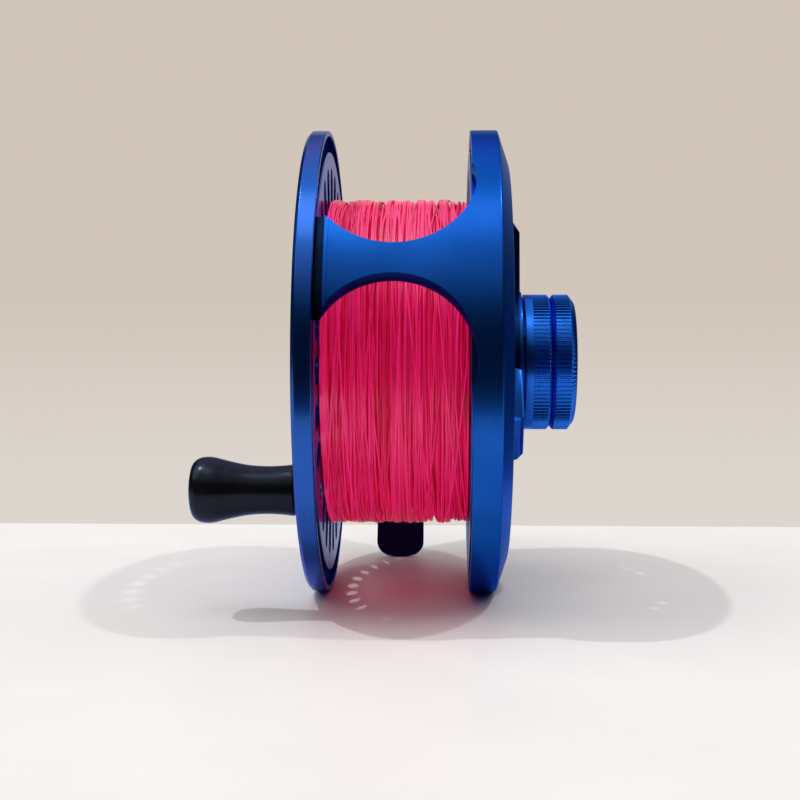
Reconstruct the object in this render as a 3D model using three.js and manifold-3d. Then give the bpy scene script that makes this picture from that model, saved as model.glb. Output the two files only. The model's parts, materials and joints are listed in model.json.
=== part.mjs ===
// A large-arbor fly fishing reel with an open two-pillar cage, a palming-rim spool and a disc drag.
// Millimetres. The spool turns about X: the handle is on the -X side and the drag knob on the +X side.
// X = 0 is the middle of the line. Angles are in degrees about the axis, from the front (-Y) up to +Z.
import * as THREE from "three";
import { mergeVertices } from "three/addons/utils/BufferGeometryUtils.js";
import Module from "manifold-3d";

const wasm = await Module();
wasm.setup();

// Overall sizes
const RIM_RADIUS = 50;
const FLANGE_RADIUS = 45.5;
const ARBOR_RADIUS = 26;
const LINE_RADIUS = 35.4;
const HALF_LINE = 14.8;
const SPINDLE_RADIUS = 3;
const GAP = 0.1;
const RUN = 0.08;

// Cage and back plate
const CAGE_INNER = 46.2;
const CAGE_LEFT = -13;
const LIP_LEFT = -15.9;
const LIP_RADIUS = 48.4;
const RING_LEFT = 15.2;
const RING_EDGE = 20.8;
const PLATE_IN = 20.2;
const PLATE_OUT = 23.2;
const PLATE_RADIUS = 42.85;
const STAR_OUT = 26.4;
const BOSS_RADIUS = 15.5;
const HUB_RING = { right: 28.8, inner: 9.4, outer: 10.8 };
const ARM_TOP = 25.9;
const ARM_TIP = 24.6;
const ARM_REACH = 30;
const ARM_CHAMFER = 2;
const ARM_ROOT_HALF = 8;
const ARM_TIP_HALF = 5.4;
const ARM_ANGLES = [90, 210, 330];
const PILLAR_ANGLE = 25;
const FOOT_ANGLE = 204;
const WINDOW_RADIUS = 16;
const PILLAR_WAIST = 6.3;
const FOOT_WAIST = 13;
const MILL_LENGTH = 24;
const PLATE_PORTS = { count: 18, first: 14, inner: 31.8, outer: 40.6, half: 2.8 };
const PLATE_WINDOWS = { inner: 20.6, outer: 28.4, halfSpan: 30, fromArm: 60 };

// Drag housing, a cup on the inside of the back plate
const CUP_LEFT = 7.9;
const CUP_INNER = 16.5;
const CUP_OUTER = 18.5;
const KEYWAY_LEFT = 10.4;
const KEY_ROOT = 14;
const KEY_HALF = 1.8;
const KEY_REACH = 17.3;
const PIN_CIRCLE = 7.6;
const PIN_RADIUS = 1.25;
const PIN_HOLE = 1.4;
const DISC_OUTER = 15.4;

// Spool
const SPOOL_LEFT = -18.85;
const GROOVE_FLOOR = -17.6;
const GROOVE_RADIUS = 48.9;
const FLANGE_LEFT = -HALF_LINE - GAP;
const FLANGE_RIGHT = HALF_LINE + GAP;
const SPOOL_RIGHT = 16.7;
const DISH_FACE = -17.2;
const HUB_RADIUS = 13.2;
const HUB_RIGHT = 7.4;
const HUB_STEP = 9.5;
const CAP_SEAT = 12;
const ARBOR_WALL = 2.2;
const RIM_BREAK = 0.75;
const PORT_COUNT = 28;
const SPOOL_PORTS = { inner: 31.4, outer: 42.3, half: 2.75 };
const SPOOL_WINDOWS = { count: 6, inner: 15.4, outer: 22, halfSpan: 14 };
const HANDLE_BOSS = 5.9;
const POST_RADIUS = 1.9;
const WEIGHT_SEAT = 4.3;
const HANDLE_CIRCLE = 38.9;
const HANDLE_ANGLE = -39.5;

// Bearings
const BEARING_OUTER = 7.5;
const BEARING_WIDTH = 5;
const BALL_PITCH = 5.3;
const BALL_RADIUS = 0.95;
const BALL_COUNT = 7;
const RACE_OUTER = 6.4;
const RACE_INNER = 4.2;
const BEARING_LEFTS = { front: -15, rear: -6 };

// Reel foot
const PEDESTAL_TOP = 52.5;
const FOOT_FACE = 56.6;
const FOOT_WIDTH = 11.6;
const FOOT_MIDDLE = -1.2;
const FOOT_CORNER = 4;
const TOE_THICKNESS = 1.1;
const SADDLE_HALF = 9;
const SCREW_OFFSET = 5;
const SCREW_BORE = 1.5;

// Drag knob
const KNOB_LEFT = 26.9;
const KNOB_RADIUS = 14.75;
const NUT_LEFT = 31;
const NUT_RIGHT = 33.8;
const NUT_CORNER = 5.9;
const NUT_BORE = 2.6;
const DETENT_CIRCLE = 13;
const DETENT_ANGLE = 24;

// Facets round a full turn
const LARGE = 40;
const KNOB_FACETS = 32;
const MEDIUM = 24;
const SMALL = 20;
const TINY = 12;
const SEAL_SIDES = 5;

const rad = THREE.MathUtils.degToRad;

// A closed mesh as a solid, with its faces turned out.
function solidOf(geometry) {
  const bare = geometry.clone();
  bare.deleteAttribute("normal");
  bare.deleteAttribute("uv");
  const merged = mergeVertices(bare, 1e-4);
  const corners = merged.index.array;
  const kept = [];
  for (let i = 0; i < corners.length; i += 3) {
    const [a, b, c] = [corners[i], corners[i + 1], corners[i + 2]];
    if (a !== b && b !== c && c !== a) kept.push(a, b, c);
  }
  const make = (triVerts) =>
    new wasm.Manifold(
      new wasm.Mesh({
        numProp: 3,
        vertProperties: new Float32Array(merged.attributes.position.array),
        triVerts: new Uint32Array(triVerts),
      }),
    );
  const solid = make(kept);
  return solid.volume() > 0 ? solid : make(kept.reverse());
}

function geometryOf(solid) {
  const mesh = solid.getMesh();
  const geometry = new THREE.BufferGeometry();
  geometry.setAttribute("position", new THREE.BufferAttribute(mesh.vertProperties, 3));
  geometry.setIndex(new THREE.BufferAttribute(mesh.triVerts, 1));
  geometry.computeVertexNormals();
  return geometry;
}

const joined = (solids) => solids.reduce((all, solid) => all.add(solid));
const cut = (body, cutters) => cutters.reduce((left, cutter) => left.subtract(cutter), body);

// A solid of revolution about X. The profile is a list of [x, radius] that closes on itself.
function latheGeometry(profile, facets) {
  const points = [...profile, profile[0]].map(([x, r]) => new THREE.Vector2(r, x));
  return new THREE.LatheGeometry(points, facets).rotateZ(-Math.PI / 2);
}

const turned = (profile, facets) => solidOf(latheGeometry(profile, facets));

// The outline of a plain ring, or of a disc where the inner radius is 0.
const band = (x0, x1, inner, outer) => [[x0, inner], [x0, outer], [x1, outer], [x1, inner]];

const ring = (x0, x1, inner, outer, facets) => turned(band(x0, x1, inner, outer), facets);

// A ring of round section, such as a seal.
function roundRing(x, radius, thickness, facets) {
  const profile = [];
  for (let i = 0; i < SEAL_SIDES; i++) {
    const turn = (i / SEAL_SIDES) * 2 * Math.PI;
    profile.push([x + thickness * Math.cos(turn), radius + thickness * Math.sin(turn)]);
  }
  return turned(profile, facets);
}

// A flat outline in (Y, Z), pushed along X from x0 to x1.
function pushed(shape, x0, x1, curveSegments = 2) {
  const geometry = new THREE.ExtrudeGeometry(shape, {
    depth: x1 - x0,
    bevelEnabled: false,
    curveSegments,
  });
  const axes = new THREE.Matrix4().makeBasis(
    new THREE.Vector3(0, 1, 0),
    new THREE.Vector3(0, 0, 1),
    new THREE.Vector3(1, 0, 0),
  );
  return geometry.applyMatrix4(axes).translate(x0, 0, 0);
}

// A cylinder that stands on the axis and points along Z, from z0 to z1.
function post(z0, z1, radius, facets) {
  const cylinder = new THREE.CylinderGeometry(radius, radius, z1 - z0, facets).rotateX(Math.PI / 2);
  return cylinder.translate(0, 0, (z0 + z1) / 2);
}

// Turns a shape made with Y as the tangent and Z as the radius to its angle about the axis.
function atAngle(geometry, degrees) {
  const turn = rad(degrees);
  const axes = new THREE.Matrix4().makeBasis(
    new THREE.Vector3(1, 0, 0),
    new THREE.Vector3(0, Math.sin(turn), Math.cos(turn)),
    new THREE.Vector3(0, -Math.cos(turn), Math.sin(turn)),
  );
  return geometry.applyMatrix4(axes);
}

function box(x0, x1, y0, y1, z0, z1) {
  const geometry = new THREE.BoxGeometry(x1 - x0, y1 - y0, z1 - z0);
  return geometry.translate((x0 + x1) / 2, (y0 + y1) / 2, (z0 + z1) / 2);
}

// A slot with round ends that runs outwards from the axis.
function radialSlot(x0, x1, inner, outer, halfWidth, degrees) {
  const shape = new THREE.Shape();
  shape.absarc(0, outer - halfWidth, halfWidth, 0, Math.PI);
  shape.absarc(0, inner + halfWidth, halfWidth, Math.PI, 2 * Math.PI);
  shape.closePath();
  return solidOf(atAngle(pushed(shape, x0, x1), degrees));
}

// A curved slot with round ends that follows a circle about the axis.
function arcSlot(x0, x1, inner, outer, halfSpan, degrees) {
  const middle = (inner + outer) / 2;
  const end = (outer - inner) / 2;
  const low = Math.PI / 2 - rad(halfSpan);
  const high = Math.PI / 2 + rad(halfSpan);
  const shape = new THREE.Shape();
  shape.absarc(0, 0, outer, low, high);
  shape.absarc(middle * Math.cos(high), middle * Math.sin(high), end, high, high + Math.PI);
  shape.absarc(0, 0, inner, high, low, true);
  shape.absarc(middle * Math.cos(low), middle * Math.sin(low), end, low + Math.PI, low + 2 * Math.PI);
  return solidOf(atAngle(pushed(shape, x0, x1, 3), degrees));
}

// A piece of revolution that stands parallel to X at a place away from the axis.
function offAxis(profile, radius, degrees, facets) {
  return solidOf(atAngle(latheGeometry(profile, facets).translate(0, 0, radius), degrees));
}

// A wedge of ring between two angles, used to open the cage.
function sector(x0, x1, inner, outer, fromDegrees, toDegrees) {
  const from = rad(180 - toDegrees);
  const to = rad(180 - fromDegrees);
  const shape = new THREE.Shape();
  shape.absarc(0, 0, outer, from, to);
  shape.absarc(0, 0, inner, to, from, true);
  return solidOf(pushed(shape, x0, x1, 24));
}

const reel = new THREE.Group();

function addPiece(name, solid, look) {
  const material = new THREE.MeshStandardMaterial(look);
  const mesh = new THREE.Mesh(geometryOf(solid), material);
  mesh.name = name;
  reel.add(mesh);
}

const BLUE = { color: 0x1b56b8, roughness: 0.32, metalness: 0.9 };
const BLACK = { color: 0x1c1c1e, roughness: 0.35, metalness: 0.2 };
const STEEL = { color: 0xb9bcc0, roughness: 0.3, metalness: 1 };
const BRASS = { color: 0xb08d4a, roughness: 0.35, metalness: 1 };
const CARBON = { color: 0x2a2b2d, roughness: 0.6, metalness: 0.1 };
const RUBBER = { color: 0x151515, roughness: 0.8, metalness: 0 };
const PINK = { color: 0xe02a78, roughness: 0.4, metalness: 0 };

// Frame: the ring, the two pillars, the back plate with its star, the drag cup and the foot pedestal.

// The distance along the tangent from a pillar's middle to the centre of the round cutter beside it.
const cutterOffset = (waist) => waist / 2 + WINDOW_RADIUS;

// The same distance as an angle at the rim.
const cutterAngle = (waist) => THREE.MathUtils.radToDeg(Math.asin(cutterOffset(waist) / RIM_RADIUS));

function cageCutters(pillarAngle, waist) {
  return [-1, 1].map((side) => {
    const mill = post(RIM_RADIUS - MILL_LENGTH / 2, RIM_RADIUS + MILL_LENGTH / 2, WINDOW_RADIUS, LARGE);
    return solidOf(atAngle(mill.translate(0, side * cutterOffset(waist), 0), pillarAngle));
  });
}

// An arm of the star: it narrows outwards, and its top slopes down to the tip.
function starArm(degrees) {
  const plan = new THREE.Shape();
  plan.moveTo(-ARM_ROOT_HALF, BOSS_RADIUS - 3);
  plan.lineTo(ARM_ROOT_HALF, BOSS_RADIUS - 3);
  plan.lineTo(ARM_TIP_HALF, ARM_REACH);
  plan.lineTo(-ARM_TIP_HALF, ARM_REACH);
  plan.closePath();
  const block = solidOf(pushed(plan, PLATE_OUT - 1, ARM_TOP));
  const slope = new THREE.Shape();
  slope.moveTo(ARM_TOP, ARM_REACH - ARM_CHAMFER);
  slope.lineTo(ARM_TOP + 1, ARM_REACH - ARM_CHAMFER);
  slope.lineTo(ARM_TOP + 1, ARM_REACH + 1);
  slope.lineTo(ARM_TIP, ARM_REACH + 1);
  slope.lineTo(ARM_TIP, ARM_REACH);
  slope.closePath();
  const wedge = new THREE.ExtrudeGeometry(slope, { depth: 4 * ARM_ROOT_HALF, bevelEnabled: false });
  const across = wedge.translate(0, 0, -2 * ARM_ROOT_HALF).applyMatrix4(
    new THREE.Matrix4().makeBasis(
      new THREE.Vector3(1, 0, 0),
      new THREE.Vector3(0, 0, 1),
      new THREE.Vector3(0, -1, 0),
    ),
  );
  const arm = block.subtract(solidOf(across));
  return solidOf(atAngle(geometryOf(arm), degrees));
}

function makeFrame() {
  const body = turned([
    [LIP_LEFT, CAGE_INNER],
    [LIP_LEFT, LIP_RADIUS],
    [CAGE_LEFT, LIP_RADIUS],
    [CAGE_LEFT, RIM_RADIUS],
    [RING_EDGE, RIM_RADIUS],
    [PLATE_OUT, PLATE_RADIUS],
    [PLATE_OUT, BOSS_RADIUS],
    [STAR_OUT, BOSS_RADIUS],
    [STAR_OUT, HUB_RING.outer],
    [HUB_RING.right, HUB_RING.outer],
    [HUB_RING.right, HUB_RING.inner],
    [STAR_OUT, HUB_RING.inner],
    [STAR_OUT, SPINDLE_RADIUS + GAP],
    [PLATE_IN, SPINDLE_RADIUS + GAP],
    [PLATE_IN, CUP_INNER],
    [CUP_LEFT, CUP_INNER],
    [CUP_LEFT, CUP_OUTER],
    [PLATE_IN, CUP_OUTER],
    [PLATE_IN, CAGE_INNER],
  ], LARGE);
  const front = cutterAngle(PILLAR_WAIST);
  const back = cutterAngle(FOOT_WAIST);
  const openings = [
    sector(-20, RING_LEFT, 44, 53, PILLAR_ANGLE + front, FOOT_ANGLE - back),
    sector(-20, RING_LEFT, 44, 53, FOOT_ANGLE + back, 360 + PILLAR_ANGLE - front),
    ...cageCutters(PILLAR_ANGLE, PILLAR_WAIST),
    ...cageCutters(FOOT_ANGLE, FOOT_WAIST),
  ];
  const through = [PLATE_IN - 1, PLATE_OUT + 1];
  const ports = [];
  for (let i = 0; i < PLATE_PORTS.count; i++) {
    const { first, count, inner, outer, half } = PLATE_PORTS;
    ports.push(radialSlot(...through, inner, outer, half, first + (i * 360) / count));
  }
  const windows = ARM_ANGLES.map((arm) => {
    const { inner, outer, halfSpan, fromArm } = PLATE_WINDOWS;
    return arcSlot(...through, inner, outer, halfSpan, arm + fromArm);
  });
  const pinHoles = ARM_ANGLES.map((arm) => offAxis(band(19, 27, 0, PIN_HOLE), PIN_CIRCLE, arm, TINY));
  const detentHole = offAxis(band(22.4, 27, 0, 1.2), DETENT_CIRCLE, DETENT_ANGLE, TINY);
  const slot = KEY_HALF + GAP;
  const keyways = [0, 180].map((degrees) =>
    solidOf(atAngle(box(KEYWAY_LEFT, PLATE_IN, -slot, slot, KEY_ROOT, KEY_REACH + GAP), degrees)),
  );
  const [left, right] = [FOOT_MIDDLE - FOOT_WIDTH / 2, FOOT_MIDDLE + FOOT_WIDTH / 2];
  const block = box(left, right, -SADDLE_HALF, SADDLE_HALF, RIM_RADIUS - 2.5, PEDESTAL_TOP);
  const pedestal = solidOf(atAngle(block, FOOT_ANGLE));
  const screwHoles = [-1, 1].map((side) => {
    const hole = post(46.9, PEDESTAL_TOP + 0.4, SCREW_BORE, TINY);
    return solidOf(atAngle(hole.translate(FOOT_MIDDLE, side * SCREW_OFFSET, 0), FOOT_ANGLE));
  });
  const raised = joined([cut(body, openings), pedestal, ...ARM_ANGLES.map(starArm)]);
  return cut(raised, [...ports, ...windows, ...pinHoles, detentHole, ...keyways, ...screwHoles]);
}

addPiece("frame", makeFrame(), BLUE);

// Reel foot: a thin saddle with tapering toes, which a rod's reel seat clamps. It stands on the end of a toe.

function makeFoot() {
  const turn = rad(FOOT_ANGLE - 180);
  const halfLength = (RIM_RADIUS - FOOT_FACE * Math.sin(turn)) / Math.cos(turn);
  const seat = PEDESTAL_TOP + GAP;
  const toe = FOOT_FACE - TOE_THICKNESS;
  const bend = [16, FOOT_FACE - 2.2];
  const side = new THREE.Shape();
  side.moveTo(-halfLength, FOOT_FACE);
  side.lineTo(-halfLength, toe);
  side.quadraticCurveTo(-bend[0], bend[1], -SADDLE_HALF, seat);
  side.lineTo(SADDLE_HALF, seat);
  side.quadraticCurveTo(bend[0], bend[1], halfLength, toe);
  side.lineTo(halfLength, FOOT_FACE);
  side.closePath();
  const half = FOOT_WIDTH / 2;
  const slab = solidOf(atAngle(pushed(side, FOOT_MIDDLE - half, FOOT_MIDDLE + half), FOOT_ANGLE));
  const plan = new THREE.Shape();
  const [cornerX, cornerY] = [half - FOOT_CORNER, halfLength - FOOT_CORNER];
  plan.absarc(cornerX, cornerY, FOOT_CORNER, 0, Math.PI / 2);
  plan.absarc(-cornerX, cornerY, FOOT_CORNER, Math.PI / 2, Math.PI);
  plan.absarc(-cornerX, -cornerY, FOOT_CORNER, Math.PI, 1.5 * Math.PI);
  plan.absarc(cornerX, -cornerY, FOOT_CORNER, 1.5 * Math.PI, 2 * Math.PI);
  const outline = new THREE.ExtrudeGeometry(plan, { depth: 10, bevelEnabled: false, curveSegments: 6 });
  const blank = solidOf(atAngle(outline.translate(FOOT_MIDDLE, 0, 50), FOOT_ANGLE));
  const sinks = [-1, 1].map((end) => {
    const sink = new THREE.CylinderGeometry(2 * SCREW_BORE, SCREW_BORE, 2, TINY).rotateX(Math.PI / 2);
    const bore = post(48.6, FOOT_FACE, SCREW_BORE, TINY);
    const place = (geometry) =>
      solidOf(atAngle(geometry.translate(FOOT_MIDDLE, end * SCREW_OFFSET, 0), FOOT_ANGLE));
    return joined([place(sink.translate(0, 0, FOOT_FACE - 0.9)), place(bore)]);
  });
  return cut(slab.intersect(blank), sinks);
}

addPiece("reel_foot", makeFoot(), BLUE);

// A countersunk screw with a round socket. The profile is a list of [height, radius].
const FOOT_SCREW_PROFILE = [
  [48, 0],
  [48, 1.3],
  [54.9, 1.3],
  [56.2, 2.55],
  [56.2, 1.1],
  [55.2, 1.1],
  [55.2, 0],
];

function footScrew(end) {
  const points = [...FOOT_SCREW_PROFILE, FOOT_SCREW_PROFILE[0]].map(([z, r]) => new THREE.Vector2(r, z));
  const lathe = new THREE.LatheGeometry(points, TINY).rotateX(Math.PI / 2);
  return solidOf(atAngle(lathe.translate(FOOT_MIDDLE, end * SCREW_OFFSET, 0), FOOT_ANGLE));
}

[-1, 1].forEach((end, i) => addPiece(`foot_screw_${i + 1}`, footScrew(end), STEEL));

// Spindle: pressed in the frame's boss against its collar, with a snap groove at the spool end.

const SPINDLE_PROFILE = [
  [-20.4, 0],
  [-20.4, 2.5],
  [-19.9, SPINDLE_RADIUS],
  [-17.9, SPINDLE_RADIUS],
  [-17.9, 2.6],
  [-16.1, 2.6],
  [-16.1, SPINDLE_RADIUS],
  [18.9, SPINDLE_RADIUS],
  [18.9, 4.6],
  [20.1, 4.6],
  [20.1, SPINDLE_RADIUS],
  [27, SPINDLE_RADIUS],
  [27.4, 2.5],
  [34, 2.5],
  [34, 0],
];
addPiece("spindle", turned(SPINDLE_PROFILE, SMALL), STEEL);

// Drag stack, left to right: cover, seal, backing plate, disc, rotor, disc, pressure plate, push pins.

function keyedPlate(x0, x1, inner) {
  const keys = [0, 180].map((degrees) =>
    solidOf(atAngle(box(x0, x1, -KEY_HALF, KEY_HALF, KEY_ROOT, KEY_REACH), degrees)),
  );
  return joined([ring(x0, x1, inner, CUP_INNER - 0.3, MEDIUM), ...keys]);
}

addPiece("drag_cover", ring(CUP_LEFT + GAP, 10.2, 7, CUP_INNER - GAP, MEDIUM), BLUE);
addPiece("drag_seal", roundRing(11.2, 7.6, 0.8, MEDIUM), RUBBER);
addPiece("backing_plate", keyedPlate(12.2, 13.9, 7), STEEL);
addPiece("drag_disc_inner", ring(14, 15.2, 7, DISC_OUTER, MEDIUM), CARBON);
addPiece("drag_disc_outer", ring(17, 18.2, 5.2, DISC_OUTER, MEDIUM), CARBON);
addPiece("pressure_plate", keyedPlate(18.3, 20, 5), STEEL);
ARM_ANGLES.forEach((arm, i) => {
  addPiece(`push_pin_${i + 1}`, offAxis(band(20.1, 27.3, 0, PIN_RADIUS), PIN_CIRCLE, arm, TINY), STEEL);
});
addPiece("thrust_ring", ring(27.4, 28.3, 4.9, 9.2, MEDIUM), STEEL);
addPiece("drag_spring", ring(28.4, 30.05, 3.2, 4.6, MEDIUM), STEEL);

// Rotor: its sleeve reaches into the spool's one-way clutch, and its disc runs between the drag discs.
const ROTOR_PROFILE = [
  [-0.6, 4.4],
  [-0.6, 6.6],
  [15.3, 6.6],
  [15.3, 15.5],
  [16.9, 15.5],
  [16.9, 4.4],
];
addPiece("drag_rotor", turned(ROTOR_PROFILE, MEDIUM), STEEL);
addPiece("rotor_bush", ring(-0.5, 16.8, SPINDLE_RADIUS + RUN, 4.3, MEDIUM), BRASS);

// Spool: rim, two flanges, arbor and bearing hub turned from one piece.

const SPOOL_PROFILE = [
  [HUB_RIGHT, HUB_STEP],
  [HUB_RIGHT, HUB_RADIUS],
  [FLANGE_LEFT, HUB_RADIUS],
  [FLANGE_LEFT, ARBOR_RADIUS - ARBOR_WALL],
  [SPOOL_RIGHT, ARBOR_RADIUS - ARBOR_WALL],
  [SPOOL_RIGHT, FLANGE_RADIUS],
  [FLANGE_RIGHT, FLANGE_RADIUS],
  [FLANGE_RIGHT, ARBOR_RADIUS],
  [FLANGE_LEFT, ARBOR_RADIUS],
  [FLANGE_LEFT, FLANGE_RADIUS],
  [GROOVE_FLOOR, FLANGE_RADIUS],
  [GROOVE_FLOOR, GROOVE_RADIUS],
  [FLANGE_LEFT, GROOVE_RADIUS],
  [FLANGE_LEFT, RIM_RADIUS - 0.2],
  [FLANGE_LEFT - 0.2, RIM_RADIUS],
  [SPOOL_LEFT + RIM_BREAK, RIM_RADIUS],
  [SPOOL_LEFT, RIM_RADIUS - RIM_BREAK],
  [SPOOL_LEFT, 44],
  [DISH_FACE, 43.2],
  [DISH_FACE, CAP_SEAT + 0.4],
  [-18.6, CAP_SEAT],
  [-18.6, 5],
  [-15.2, 5],
  [-15.2, BEARING_OUTER + GAP],
  [-0.2, BEARING_OUTER + GAP],
  [-0.2, HUB_STEP],
];

// The seat and the screw hole of the counterweight.
const WEIGHT_HOLE = [
  [-20, 0],
  [-20, WEIGHT_SEAT],
  [-16.4, WEIGHT_SEAT],
  [-16.4, 1.4],
  [-14, 1.4],
  [-14, 0],
];

function makeSpool() {
  const bosses = [0, 180].map((turn) =>
    offAxis(band(SPOOL_LEFT, -15, 0, HANDLE_BOSS), HANDLE_CIRCLE, HANDLE_ANGLE + turn, SMALL),
  );
  const ports = [];
  for (let i = 1; i < PORT_COUNT; i++) {
    if (i !== PORT_COUNT / 2) {
      const { inner, outer, half } = SPOOL_PORTS;
      ports.push(radialSlot(-19, 18, inner, outer, half, HANDLE_ANGLE + (i * 360) / PORT_COUNT));
    }
  }
  const windows = [];
  for (let i = 0; i < SPOOL_WINDOWS.count; i++) {
    const { count, inner, outer, halfSpan } = SPOOL_WINDOWS;
    windows.push(arcSlot(-19, -14, inner, outer, halfSpan, HANDLE_ANGLE + (i * 360) / count));
  }
  const postHole = offAxis(band(-20, -14, 0, POST_RADIUS), HANDLE_CIRCLE, HANDLE_ANGLE, TINY);
  const weightHole = offAxis(WEIGHT_HOLE, HANDLE_CIRCLE, HANDLE_ANGLE + 180, SMALL);
  return cut(joined([turned(SPOOL_PROFILE, LARGE), ...bosses]), [...ports, ...windows, postHole, weightHole]);
}

addPiece("spool", makeSpool(), BLUE);
addPiece("line_pack", ring(-HALF_LINE, HALF_LINE, ARBOR_RADIUS + GAP, LINE_RADIUS, LARGE), PINK);

const CAP_PROFILE = [
  [-18.7, 4.6],
  [-18.7, 11],
  [-20.2, 11],
  [-22.4, 10.2],
  [-23.4, 8.6],
  [-23.4, 0],
  [-21.2, 0],
  [-21.2, 4.6],
];
addPiece("spool_cap", turned(CAP_PROFILE, MEDIUM), BLUE);
addPiece("snap_ring", roundRing(-17, 3.75, 0.95, MEDIUM), RUBBER);

// Bearings: races, and balls held in a cage.

function ballCage(left) {
  const middle = left + BEARING_WIDTH / 2;
  const balls = [];
  for (let i = 0; i < BALL_COUNT; i++) {
    const ball = new THREE.SphereGeometry(BALL_RADIUS, 6, 4).translate(middle, 0, BALL_PITCH);
    balls.push(solidOf(atAngle(ball, (i * 360) / BALL_COUNT)));
  }
  const cage = ring(middle - 0.7, middle + 0.7, BALL_PITCH - 0.3, BALL_PITCH + 0.3, 2 * BALL_COUNT);
  return joined([cage, ...balls]);
}

for (const [place, left] of Object.entries(BEARING_LEFTS)) {
  const right = left + BEARING_WIDTH;
  addPiece(`outer_race_${place}`, ring(left, right, RACE_OUTER, BEARING_OUTER, MEDIUM), STEEL);
  addPiece(`inner_race_${place}`, ring(left, right, SPINDLE_RADIUS + RUN, RACE_INNER, MEDIUM), STEEL);
  addPiece(`ball_cage_${place}`, ballCage(left), STEEL);
}
addPiece("outer_spacer", ring(-9.9, -6.1, 6.6, BEARING_OUTER, MEDIUM), BLUE);
addPiece("inner_spacer", ring(-9.9, -6.1, SPINDLE_RADIUS + RUN, RACE_INNER, MEDIUM), STEEL);

// One-way clutch: a shell pressed in the hub, with rollers in a cage round the rotor's sleeve.

const ROLLER = { count: 8, left: 0.6, right: 6.6, radius: 0.8, circle: 7.6, facets: 8 };

function rollerCage() {
  const { count, left, right, radius, circle, facets } = ROLLER;
  const rollers = [];
  for (let i = 0; i < count; i++) {
    rollers.push(offAxis(band(left, right, 0, radius), circle, (i * 360) / count, facets));
  }
  return joined([ring(left - 0.2, right + 0.2, circle - 0.25, circle + 0.25, 2 * count), ...rollers]);
}

addPiece("clutch_shell", ring(0, 7.2, 8.6, HUB_STEP - GAP, MEDIUM), STEEL);
addPiece("clutch_rollers", rollerCage(), STEEL);

// Handle: a grip on a bush, which turns on a post fixed in the spool.

const offHandle = (profile) => offAxis(profile, HANDLE_CIRCLE, HANDLE_ANGLE, SMALL);
const POST_PROFILE = [
  [-38.9, 0],
  [-38.9, 1.8],
  [-19.8, 1.8],
  [-19.8, 3.2],
  [-19, 3.2],
  [-19, 1.8],
  [-15.2, 1.8],
  [-15.2, 0],
];
addPiece("handle_post", offHandle(POST_PROFILE), STEEL);
addPiece("handle_bush", offHandle(band(-38.6, -20, 1.88, 2.8)), BRASS);

const GRIP_SIDE = [
  [-20.4, 5.1],
  [-23, 4.86],
  [-26, 4.8],
  [-29.5, 5.05],
  [-33, 5.75],
  [-36, 6.5],
  [-37.6, 6.65],
  [-39.2, 6.4],
  [-40.3, 5.6],
];

function gripProfile() {
  const curve = new THREE.CatmullRomCurve3(GRIP_SIDE.map(([x, r]) => new THREE.Vector3(x, r, 0)));
  const side = curve.getPoints(10).map((p) => [p.x, p.y]);
  return [[-19.9, 2.9], [-19.9, 4.9], ...side, [-40.8, 4.4], [-40.8, 3.7], [-39.1, 3.7], [-39.1, 2.9]];
}

addPiece("handle_grip", offHandle(gripProfile()), BLACK);
addPiece("handle_plug", offHandle(band(-40.7, -39.2, 0, 3.6)), BLACK);

// Counterweight: it stands in a seat opposite the handle, and its screw holds it.

const offWeight = (profile) => offAxis(profile, HANDLE_CIRCLE, HANDLE_ANGLE + 180, SMALL);
const WEIGHT_PROFILE = [
  [-22.4, 1.4],
  [-22.4, 4.8],
  [-21.8, 5.4],
  [-18.95, 5.4],
  [-18.95, 4.2],
  [-16.5, 4.2],
  [-16.5, 1.4],
];
addPiece("counterweight", offWeight(WEIGHT_PROFILE), STEEL);
const WEIGHT_SCREW = [
  [-23.6, 0],
  [-23.6, 2],
  [-22.5, 2.4],
  [-22.5, 1.25],
  [-14.95, 1.25],
  [-14.95, 0],
];
addPiece("counterweight_screw", offWeight(WEIGHT_SCREW), STEEL);

// Drag knob: a hollow knob with a cap, turning a nut on the spindle's thread, with a ball detent.

const hexagon = (cornerRadius, x0, x1) => turned(band(x0, x1, 0, cornerRadius), 6);

const KNOB_PROFILE = [
  [KNOB_LEFT, 14.1],
  [KNOB_LEFT, KNOB_RADIUS],
  [32, KNOB_RADIUS],
  [32.6, 14],
  [32.6, 4.8],
  [29, 4.8],
  [29, 11.9],
  [27.4, 11.9],
  [27.4, 14.1],
];

function makeKnob() {
  return cut(turned(KNOB_PROFILE, KNOB_FACETS), [hexagon(NUT_CORNER + 0.3, 30, 34)]);
}

addPiece("drag_knob", makeKnob(), BLUE);
const KNOB_CAP_PROFILE = [
  [32.7, 7],
  [32.7, 14],
  [33.3, KNOB_RADIUS],
  [36.5, KNOB_RADIUS],
  [37.8, 13],
  [37.8, 0],
  [34.4, 0],
  [34.4, 7],
];
addPiece("knob_cap", turned(KNOB_CAP_PROFILE, KNOB_FACETS), BLUE);
addPiece("knob_seal", roundRing(28, 11.35, 0.4, KNOB_FACETS), RUBBER);
const drilled = cut(hexagon(NUT_CORNER, NUT_LEFT, NUT_RIGHT), [ring(29, 35, 0, NUT_BORE, SMALL)]);
addPiece("drag_nut", drilled, BRASS);

const detentBall = new THREE.SphereGeometry(1, 8, 6).translate(26.3, 0, DETENT_CIRCLE);
addPiece("detent_ball", solidOf(atAngle(detentBall, DETENT_ANGLE)), STEEL);
const detentSpring = offAxis(band(22.5, 24.8, 0, 0.9), DETENT_CIRCLE, DETENT_ANGLE, TINY);
addPiece("detent_spring", detentSpring, STEEL);

// The reel stands on its two rims and the lower toe of its foot, centred over the origin.
const extent = new THREE.Box3().setFromObject(reel, true);
const middle = extent.getCenter(new THREE.Vector3());
reel.position.set(-middle.x, -middle.y, -extent.min.z);

export default reel;
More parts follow.
